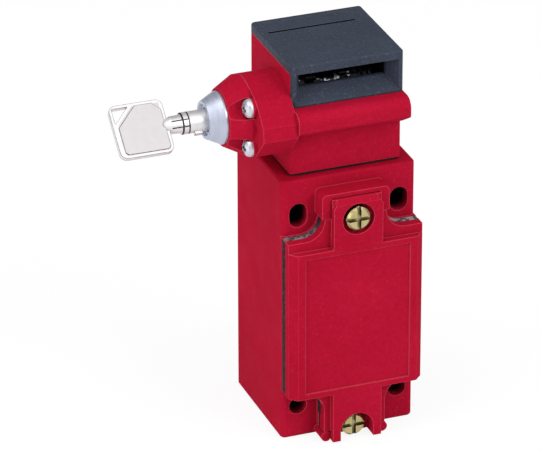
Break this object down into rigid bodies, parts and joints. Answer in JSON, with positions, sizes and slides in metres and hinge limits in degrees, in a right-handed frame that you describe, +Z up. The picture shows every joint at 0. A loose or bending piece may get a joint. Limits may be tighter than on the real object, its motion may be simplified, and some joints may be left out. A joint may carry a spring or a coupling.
{
  "type": "tongue interlock switch",
  "caption": "Metal guard switch with a tongue slot in its turret head, a key lock that blocks the slot's cam on one side, and a screwed front cover.",
  "frame": {"origin": "on the rear mounting face, midway between the two lower fixing holes", "axes": "+Z up the body towards the head, +Y out of the rear mounting face so that the cover and the tongue slot face -Y, +X to the right when the cover is seen, so that the key lock points to -X"},
  "size_m": [0.084, 0.0447, 0.115],
  "materials": {
    "red_coat": "satin",
    "slate_plastic": "matt",
    "black_rubber": "matt",
    "yellow_zinc": "satin",
    "bright_zinc": "satin",
    "satin_bezel": "satin",
    "nickel_key": "polished",
    "tool_steel": "ground",
    "lock_brass": "turned",
    "spring_steel": "drawn",
    "cream_plastic": "matt",
    "grey_plastic": "matt",
    "contact_metal": "rolled"
  },
  "bodies": {
    "switch": {"body_housing": "red_coat", "front_cover": "red_coat", "head_housing": "red_coat", "lock_housing": "red_coat", "lock_nose": "red_coat", "cover_gasket": "black_rubber", "head_gasket": "black_rubber", "plunger_seal": "black_rubber", "cover_screws": "yellow_zinc", "head_screws": "bright_zinc", "lock_nose_screws": "bright_zinc", "lock_housing_screws": "bright_zinc", "contact_block_screws": "bright_zinc", "terminal_screws": "bright_zinc", "earth_screw": "yellow_zinc", "tongue_guide_cap": "slate_plastic", "top_slot_plug": "slate_plastic", "cam_shaft": "tool_steel", "cam_bushes": "grey_plastic", "cam_spring": "spring_steel", "lock_bezel": "satin_bezel", "lock_barrel": "lock_brass", "plunger_bush": "lock_brass", "contact_block": "cream_plastic", "fixed_contacts": "contact_metal", "terminal_clamps": "bright_zinc", "return_spring": "spring_steel"},
    "cam": {"drive_cam": "tool_steel"},
    "plunger": {"plunger": "cream_plastic", "contact_carrier": "grey_plastic", "moving_bridges": "contact_metal"},
    "lock_rotor": {"lock_rotor": "lock_brass", "lock_crank": "tool_steel", "crank_clip": "spring_steel"},
    "key": {"key": "nickel_key"}
  },
  "joints": [
    {"name": "cam_turn", "type": "hinge", "parent": "switch", "child": "cam", "pos_m": [0, -0.017, 0.0903], "axis": [-1, 0, 0], "range_deg": [0, 60], "stiffness_Nm_per_rad": 0.02, "springref_deg": -17.19},
    {"name": "plunger_slide", "type": "slide", "parent": "switch", "child": "plunger", "axis": [0, 0, 1], "range_m": [0, 0.004], "deforming": ["return_spring"]},
    {"name": "key_turn", "type": "hinge", "parent": "switch", "child": "lock_rotor", "pos_m": [-0.03, -0.0235, 0.0875], "axis": [1, 0, 0], "range_deg": [0, 90]},
    {"name": "key_pull", "type": "slide", "parent": "lock_rotor", "child": "key", "axis": [-1, 0, 0], "range_m": [0, 0.014]}
  ],
  "couplings": [
    {"joint": "plunger_slide", "follows": "cam_turn", "m_per_rad": 0.0038}
  ]
}
